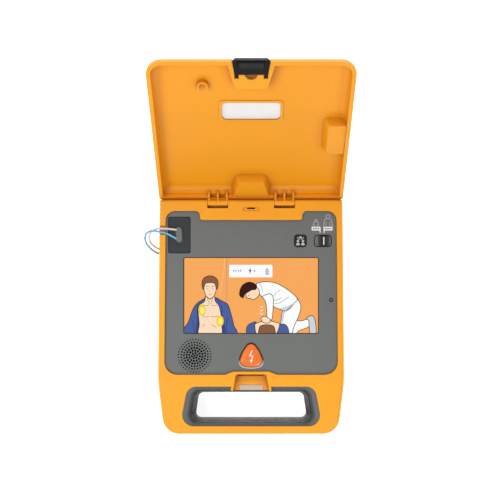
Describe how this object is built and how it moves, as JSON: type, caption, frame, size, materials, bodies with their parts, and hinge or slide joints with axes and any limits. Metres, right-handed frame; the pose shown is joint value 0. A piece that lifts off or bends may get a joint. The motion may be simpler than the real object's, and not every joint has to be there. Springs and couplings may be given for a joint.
{
  "type": "automated external defibrillator",
  "caption": "Portable defibrillator lying on its back with its lid open: screen, shock button, speaker, pads connector with two leads, and a handle opening.",
  "frame": {"origin": "middle of the case's flat back face, which it lies on", "axes": "+Z out of the control panel, +Y from the carrying handle to the lid hinge, +X to the right as the panel is read"},
  "size_m": [0.2336, 0.4079, 0.212],
  "materials": {
    "orange_shell": "fine moulded texture",
    "panel_grey": "fine moulded texture",
    "dark_plastic": "satin",
    "black_plastic": "satin",
    "grip_rubber": "soft matt rubber",
    "black_rubber": "matt",
    "boot_rubber": "matt",
    "screen": "clear cover over a lit screen",
    "shock_orange": "glossy translucent",
    "light_ring": "glossy",
    "status_clear": "frosted",
    "window_clear": "frosted clear",
    "steel": "bright",
    "circuit_board": "solder mask",
    "capacitor_sleeve": "shrink sleeve",
    "copper_wire": "enamelled copper",
    "gold_contact": "plated",
    "white_jacket": "smooth vinyl",
    "blue_jacket": "smooth vinyl",
    "foil": "crinkled foil",
    "battery_case": "moulded",
    "module_metal": "dull"
  },
  "bodies": {
    "case": {"back_shell": "orange_shell", "front_frame": "orange_shell", "case_seal": "black_rubber", "case_screws": "steel", "handle_grip": "grip_rubber", "fascia": "panel_grey", "speaker_grille": "panel_grey", "speaker_driver": "black_plastic", "microphone": "steel", "display_lens": "screen", "lcd_module": "module_metal", "lcd_gasket": "black_rubber", "shock_bezel": "light_ring", "shock_dome": "boot_rubber", "button_board": "circuit_board", "control_board": "circuit_board", "pads_socket": "black_plastic", "pads_connector": "dark_plastic", "cable_boot": "boot_rubber", "white_lead": "white_jacket", "blue_lead": "blue_jacket", "lead_grommet": "black_rubber", "electrode_pouch": "foil", "pads_door": "orange_shell", "battery_pack": "battery_case", "battery_contacts": "gold_contact", "main_board": "circuit_board", "board_posts": "steel", "hv_capacitor": "capacitor_sleeve", "hv_inductor": "copper_wire", "status_lens": "status_clear", "lid_switch": "black_plastic", "hinge_pins": "steel"},
    "lid": {"lid": "orange_shell", "lid_window": "window_clear", "lid_magnet": "steel", "latch_pin": "steel", "latch_spring": "steel"},
    "latch": {"lid_latch": "black_plastic"},
    "shock_button": {"shock_button": "shock_orange"},
    "language_button": {"language_button": "dark_plastic"},
    "mode_slider": {"mode_slider": "dark_plastic"}
  },
  "joints": [
    {"name": "lid_hinge", "type": "hinge", "parent": "case", "child": "lid", "pos_m": [0, 0.122, 0.052], "axis": [1, 0, 0], "range_deg": [0, 129]},
    {"name": "latch_pivot", "type": "hinge", "parent": "lid", "child": "latch", "pos_m": [0, 0.24877, 0.19203], "axis": [1, 0, 0], "range_deg": [-15, 0], "stiffness_Nm_per_rad": 0.2, "springref_deg": 8.59},
    {"name": "shock_press", "type": "slide", "parent": "case", "child": "shock_button", "axis": [0, 0, 1], "range_m": [-0.0015, 0], "stiffness_N_per_m": 600, "springref_m": 0.001},
    {"name": "language_press", "type": "slide", "parent": "case", "child": "language_button", "axis": [0, 0, 1], "range_m": [-0.001, 0], "stiffness_N_per_m": 500, "springref_m": 0.001},
    {"name": "selector_slide", "type": "slide", "parent": "case", "child": "mode_slider", "axis": [1, 0, 0], "range_m": [-0.0045, 0]}
  ]
}
